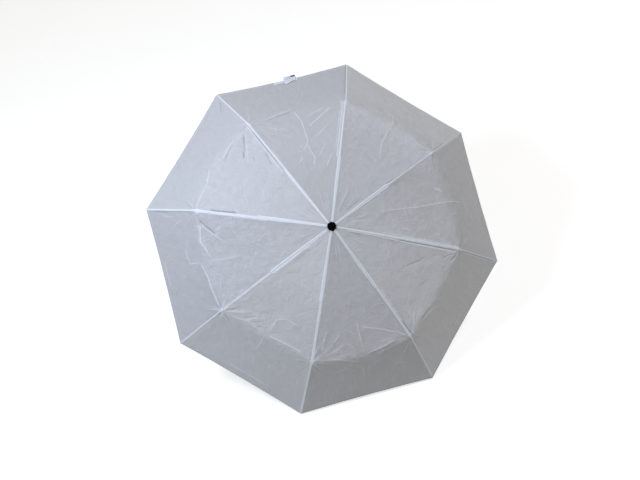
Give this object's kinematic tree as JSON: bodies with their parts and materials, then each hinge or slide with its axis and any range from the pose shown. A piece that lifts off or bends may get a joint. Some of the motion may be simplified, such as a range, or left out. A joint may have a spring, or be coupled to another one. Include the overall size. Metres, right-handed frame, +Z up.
{
  "type": "folding umbrella",
  "caption": "Worn three-fold pocket umbrella lying open on its handle end and two rib tips, pale translucent canopy with slipped, puckered seams and a turned-out closure strap",
  "frame": {"origin": "on the floor, at the middle of the open umbrella's box", "axes": "+Z up, crown of the canopy facing -Y and up, +X across the canopy"},
  "size_m": [0.9056, 0.6871, 0.603],
  "materials": {
    "canopy_cloth": "thin pale grey translucent cloth",
    "strap_cloth": "pale grey cloth",
    "hook_tape": "dark grey hook tape",
    "black_plastic": "black moulded plastic",
    "grip_plastic": "matt black grip",
    "tube_steel": "plated steel tube",
    "rib_steel": "bare rolled steel channel",
    "wire_steel": "drawn steel wire",
    "tip_metal": "plated tip"
  },
  "bodies": {
    "frame": {"cap": "black_plastic", "crown_notch": "black_plastic", "notch_wire": "wire_steel", "upper_tube": "tube_steel", "canopy": "canopy_cloth", "closure_strap": "strap_cloth", "strap_patch": "hook_tape"},
    "runner": {"runner": "black_plastic"},
    "middle_tube": {"middle_tube": "tube_steel"},
    "lower_tube": {"lower_tube": "tube_steel", "handle": "grip_plastic", "handle_end": "black_plastic"},
    "inner_rib_1": {"inner_rib_1": "rib_steel"},
    "middle_rib_1": {"middle_rib_1": "rib_steel"},
    "outer_rib_1": {"outer_rib_1": "wire_steel", "rib_tip_1": "tip_metal"},
    "stretcher_1": {"stretcher_1": "rib_steel"},
    "inner_rib_2": {"inner_rib_2": "rib_steel"},
    "middle_rib_2": {"middle_rib_2": "rib_steel"},
    "outer_rib_2": {"outer_rib_2": "wire_steel", "rib_tip_2": "tip_metal"},
    "stretcher_2": {"stretcher_2": "rib_steel"},
    "inner_rib_3": {"inner_rib_3": "rib_steel"},
    "middle_rib_3": {"middle_rib_3": "rib_steel"},
    "outer_rib_3": {"outer_rib_3": "wire_steel", "rib_tip_3": "tip_metal"},
    "stretcher_3": {"stretcher_3": "rib_steel"},
    "inner_rib_4": {"inner_rib_4": "rib_steel"},
    "middle_rib_4": {"middle_rib_4": "rib_steel"},
    "outer_rib_4": {"outer_rib_4": "wire_steel", "rib_tip_4": "tip_metal"},
    "stretcher_4": {"stretcher_4": "rib_steel"},
    "inner_rib_5": {"inner_rib_5": "rib_steel"},
    "middle_rib_5": {"middle_rib_5": "rib_steel"},
    "outer_rib_5": {"outer_rib_5": "wire_steel", "rib_tip_5": "tip_metal"},
    "stretcher_5": {"stretcher_5": "rib_steel"},
    "inner_rib_6": {"inner_rib_6": "rib_steel"},
    "middle_rib_6": {"middle_rib_6": "rib_steel"},
    "outer_rib_6": {"outer_rib_6": "wire_steel", "rib_tip_6": "tip_metal"},
    "stretcher_6": {"stretcher_6": "rib_steel"},
    "inner_rib_7": {"inner_rib_7": "rib_steel"},
    "middle_rib_7": {"middle_rib_7": "rib_steel"},
    "outer_rib_7": {"outer_rib_7": "wire_steel", "rib_tip_7": "tip_metal"},
    "stretcher_7": {"stretcher_7": "rib_steel"},
    "inner_rib_8": {"inner_rib_8": "rib_steel"},
    "middle_rib_8": {"middle_rib_8": "rib_steel"},
    "outer_rib_8": {"outer_rib_8": "wire_steel", "rib_tip_8": "tip_metal"},
    "stretcher_8": {"stretcher_8": "rib_steel"}
  },
  "joints": [
    {"name": "fold", "type": "slide", "parent": "frame", "child": "runner", "axis": [0, 0.6596, -0.7516], "range_m": [0, 0.12757], "deforming": ["canopy", "closure_strap", "strap_patch"]},
    {"name": "middle_tube_slide", "type": "slide", "parent": "frame", "child": "middle_tube", "axis": [0, -0.6596, 0.7516], "range_m": [0, 0.13]},
    {"name": "lower_tube_slide", "type": "slide", "parent": "middle_tube", "child": "lower_tube", "axis": [0, -0.6596, 0.7516], "range_m": [0, 0.13]},
    {"name": "inner_rib_hinge_1", "type": "hinge", "parent": "frame", "child": "inner_rib_1", "pos_m": [-0.00459, -0.11805, 0.41738], "axis": [0.9239, -0.2876, -0.2524], "range_deg": [0, 79]},
    {"name": "middle_rib_hinge_1", "type": "hinge", "parent": "inner_rib_1", "child": "middle_rib_1", "pos_m": [-0.07467, -0.22782, 0.28596], "axis": [-0.9239, 0.2876, 0.2524], "range_deg": [0, 177.5]},
    {"name": "outer_rib_hinge_1", "type": "hinge", "parent": "middle_rib_1", "child": "outer_rib_1", "pos_m": [-0.13492, -0.31467, 0.16443], "axis": [0.9239, -0.2876, -0.2524], "range_deg": [0, 147.5]},
    {"name": "stretcher_hinge_1", "type": "hinge", "parent": "inner_rib_1", "child": "stretcher_1", "pos_m": [-0.0403, -0.17082, 0.34683], "axis": [-0.9239, 0.2876, 0.2524], "range_deg": [0, 135.1]},
    {"name": "inner_rib_hinge_2", "type": "hinge", "parent": "frame", "child": "inner_rib_2", "pos_m": [0.00459, -0.11805, 0.41738], "axis": [0.9239, 0.2876, 0.2524], "range_deg": [0, 79]},
    {"name": "middle_rib_hinge_2", "type": "hinge", "parent": "inner_rib_2", "child": "middle_rib_2", "pos_m": [0.07467, -0.22782, 0.28596], "axis": [-0.9239, -0.2876, -0.2524], "range_deg": [0, 177.5]},
    {"name": "outer_rib_hinge_2", "type": "hinge", "parent": "middle_rib_2", "child": "outer_rib_2", "pos_m": [0.13492, -0.31467, 0.16443], "axis": [0.9239, 0.2876, 0.2524], "range_deg": [0, 147.5]},
    {"name": "stretcher_hinge_2", "type": "hinge", "parent": "inner_rib_2", "child": "stretcher_2", "pos_m": [0.0403, -0.17082, 0.34683], "axis": [-0.9239, -0.2876, -0.2524], "range_deg": [0, 135.1]},
    {"name": "inner_rib_hinge_3", "type": "hinge", "parent": "frame", "child": "inner_rib_3", "pos_m": [0.01109, -0.11317, 0.42166], "axis": [0.3827, 0.6944, 0.6094], "range_deg": [0, 79]},
    {"name": "middle_rib_hinge_3", "type": "hinge", "parent": "inner_rib_3", "child": "middle_rib_3", "pos_m": [0.18028, -0.14844, 0.35562], "axis": [-0.3827, -0.6944, -0.6094], "range_deg": [0, 177.5]},
    {"name": "outer_rib_hinge_3", "type": "hinge", "parent": "middle_rib_3", "child": "outer_rib_3", "pos_m": [0.32572, -0.17126, 0.29028], "axis": [0.3827, 0.6944, 0.6094], "range_deg": [0, 147.5]},
    {"name": "stretcher_hinge_3", "type": "hinge", "parent": "inner_rib_3", "child": "stretcher_3", "pos_m": [0.09728, -0.12798, 0.38442], "axis": [-0.3827, -0.6944, -0.6094], "range_deg": [0, 135.1]},
    {"name": "inner_rib_hinge_4", "type": "hinge", "parent": "frame", "child": "inner_rib_4", "pos_m": [0.01109, -0.10626, 0.42772], "axis": [-0.3827, 0.6944, 0.6094], "range_deg": [0, 79]},
    {"name": "middle_rib_hinge_4", "type": "hinge", "parent": "inner_rib_4", "child": "middle_rib_4", "pos_m": [0.18028, -0.03619, 0.45412], "axis": [0.3827, -0.6944, -0.6094], "range_deg": [0, 177.5]},
    {"name": "outer_rib_hinge_4", "type": "hinge", "parent": "middle_rib_4", "child": "outer_rib_4", "pos_m": [0.32572, 0.03155, 0.46826], "axis": [-0.3827, 0.6944, 0.6094], "range_deg": [0, 147.5]},
    {"name": "stretcher_hinge_4", "type": "hinge", "parent": "inner_rib_4", "child": "stretcher_4", "pos_m": [0.09728, -0.06741, 0.43758], "axis": [0.3827, -0.6944, -0.6094], "range_deg": [0, 135.1]},
    {"name": "inner_rib_hinge_5", "type": "hinge", "parent": "frame", "child": "inner_rib_5", "pos_m": [0.00459, -0.10138, 0.432], "axis": [-0.9239, 0.2876, 0.2524], "range_deg": [0, 79]},
    {"name": "middle_rib_hinge_5", "type": "hinge", "parent": "inner_rib_5", "child": "middle_rib_5", "pos_m": [0.07467, 0.04318, 0.52378], "axis": [0.9239, -0.2876, -0.2524], "range_deg": [0, 177.5]},
    {"name": "outer_rib_hinge_5", "type": "hinge", "parent": "middle_rib_5", "child": "outer_rib_5", "pos_m": [0.13492, 0.17497, 0.59411], "axis": [-0.9239, 0.2876, 0.2524], "range_deg": [0, 147.5]},
    {"name": "stretcher_hinge_5", "type": "hinge", "parent": "inner_rib_5", "child": "stretcher_5", "pos_m": [0.0403, -0.02458, 0.47516], "axis": [0.9239, -0.2876, -0.2524], "range_deg": [0, 135.1]},
    {"name": "inner_rib_hinge_6", "type": "hinge", "parent": "frame", "child": "inner_rib_6", "pos_m": [-0.00459, -0.10138, 0.432], "axis": [-0.9239, -0.2876, -0.2524], "range_deg": [0, 79]},
    {"name": "middle_rib_hinge_6", "type": "hinge", "parent": "inner_rib_6", "child": "middle_rib_6", "pos_m": [-0.07467, 0.04318, 0.52378], "axis": [0.9239, 0.2876, 0.2524], "range_deg": [0, 177.5]},
    {"name": "outer_rib_hinge_6", "type": "hinge", "parent": "middle_rib_6", "child": "outer_rib_6", "pos_m": [-0.13492, 0.17497, 0.59411], "axis": [-0.9239, -0.2876, -0.2524], "range_deg": [0, 147.5]},
    {"name": "stretcher_hinge_6", "type": "hinge", "parent": "inner_rib_6", "child": "stretcher_6", "pos_m": [-0.0403, -0.02458, 0.47516], "axis": [0.9239, 0.2876, 0.2524], "range_deg": [0, 135.1]},
    {"name": "inner_rib_hinge_7", "type": "hinge", "parent": "frame", "child": "inner_rib_7", "pos_m": [-0.01109, -0.10626, 0.42772], "axis": [-0.3827, -0.6944, -0.6094], "range_deg": [0, 79]},
    {"name": "middle_rib_hinge_7", "type": "hinge", "parent": "inner_rib_7", "child": "middle_rib_7", "pos_m": [-0.18028, -0.03619, 0.45412], "axis": [0.3827, 0.6944, 0.6094], "range_deg": [0, 177.5]},
    {"name": "outer_rib_hinge_7", "type": "hinge", "parent": "middle_rib_7", "child": "outer_rib_7", "pos_m": [-0.32572, 0.03155, 0.46826], "axis": [-0.3827, -0.6944, -0.6094], "range_deg": [0, 147.5]},
    {"name": "stretcher_hinge_7", "type": "hinge", "parent": "inner_rib_7", "child": "stretcher_7", "pos_m": [-0.09728, -0.06741, 0.43758], "axis": [0.3827, 0.6944, 0.6094], "range_deg": [0, 135.1]},
    {"name": "inner_rib_hinge_8", "type": "hinge", "parent": "frame", "child": "inner_rib_8", "pos_m": [-0.01109, -0.11317, 0.42166], "axis": [0.3827, -0.6944, -0.6094], "range_deg": [0, 79]},
    {"name": "middle_rib_hinge_8", "type": "hinge", "parent": "inner_rib_8", "child": "middle_rib_8", "pos_m": [-0.18028, -0.14844, 0.35562], "axis": [-0.3827, 0.6944, 0.6094], "range_deg": [0, 177.5]},
    {"name": "outer_rib_hinge_8", "type": "hinge", "parent": "middle_rib_8", "child": "outer_rib_8", "pos_m": [-0.32572, -0.17126, 0.29028], "axis": [0.3827, -0.6944, -0.6094], "range_deg": [0, 147.5]},
    {"name": "stretcher_hinge_8", "type": "hinge", "parent": "inner_rib_8", "child": "stretcher_8", "pos_m": [-0.09728, -0.12798, 0.38442], "axis": [-0.3827, 0.6944, 0.6094], "range_deg": [0, 135.1]}
  ],
  "couplings": [
    {"joint": "inner_rib_hinge_1", "follows": "fold", "rad_per_m": 10.808},
    {"joint": "middle_rib_hinge_1", "follows": "fold", "rad_per_m": 24.284},
    {"joint": "outer_rib_hinge_1", "follows": "fold", "rad_per_m": 20.18},
    {"joint": "stretcher_hinge_1", "follows": "fold", "rad_per_m": 18.483},
    {"joint": "inner_rib_hinge_2", "follows": "fold", "rad_per_m": 10.808},
    {"joint": "middle_rib_hinge_2", "follows": "fold", "rad_per_m": 24.284},
    {"joint": "outer_rib_hinge_2", "follows": "fold", "rad_per_m": 20.18},
    {"joint": "stretcher_hinge_2", "follows": "fold", "rad_per_m": 18.483},
    {"joint": "inner_rib_hinge_3", "follows": "fold", "rad_per_m": 10.808},
    {"joint": "middle_rib_hinge_3", "follows": "fold", "rad_per_m": 24.284},
    {"joint": "outer_rib_hinge_3", "follows": "fold", "rad_per_m": 20.18},
    {"joint": "stretcher_hinge_3", "follows": "fold", "rad_per_m": 18.483},
    {"joint": "inner_rib_hinge_4", "follows": "fold", "rad_per_m": 10.808},
    {"joint": "middle_rib_hinge_4", "follows": "fold", "rad_per_m": 24.284},
    {"joint": "outer_rib_hinge_4", "follows": "fold", "rad_per_m": 20.18},
    {"joint": "stretcher_hinge_4", "follows": "fold", "rad_per_m": 18.483},
    {"joint": "inner_rib_hinge_5", "follows": "fold", "rad_per_m": 10.808},
    {"joint": "middle_rib_hinge_5", "follows": "fold", "rad_per_m": 24.284},
    {"joint": "outer_rib_hinge_5", "follows": "fold", "rad_per_m": 20.18},
    {"joint": "stretcher_hinge_5", "follows": "fold", "rad_per_m": 18.483},
    {"joint": "inner_rib_hinge_6", "follows": "fold", "rad_per_m": 10.808},
    {"joint": "middle_rib_hinge_6", "follows": "fold", "rad_per_m": 24.284},
    {"joint": "outer_rib_hinge_6", "follows": "fold", "rad_per_m": 20.18},
    {"joint": "stretcher_hinge_6", "follows": "fold", "rad_per_m": 18.483},
    {"joint": "inner_rib_hinge_7", "follows": "fold", "rad_per_m": 10.808},
    {"joint": "middle_rib_hinge_7", "follows": "fold", "rad_per_m": 24.284},
    {"joint": "outer_rib_hinge_7", "follows": "fold", "rad_per_m": 20.18},
    {"joint": "stretcher_hinge_7", "follows": "fold", "rad_per_m": 18.483},
    {"joint": "inner_rib_hinge_8", "follows": "fold", "rad_per_m": 10.808},
    {"joint": "middle_rib_hinge_8", "follows": "fold", "rad_per_m": 24.284},
    {"joint": "outer_rib_hinge_8", "follows": "fold", "rad_per_m": 20.18},
    {"joint": "stretcher_hinge_8", "follows": "fold", "rad_per_m": 18.483}
  ]
}
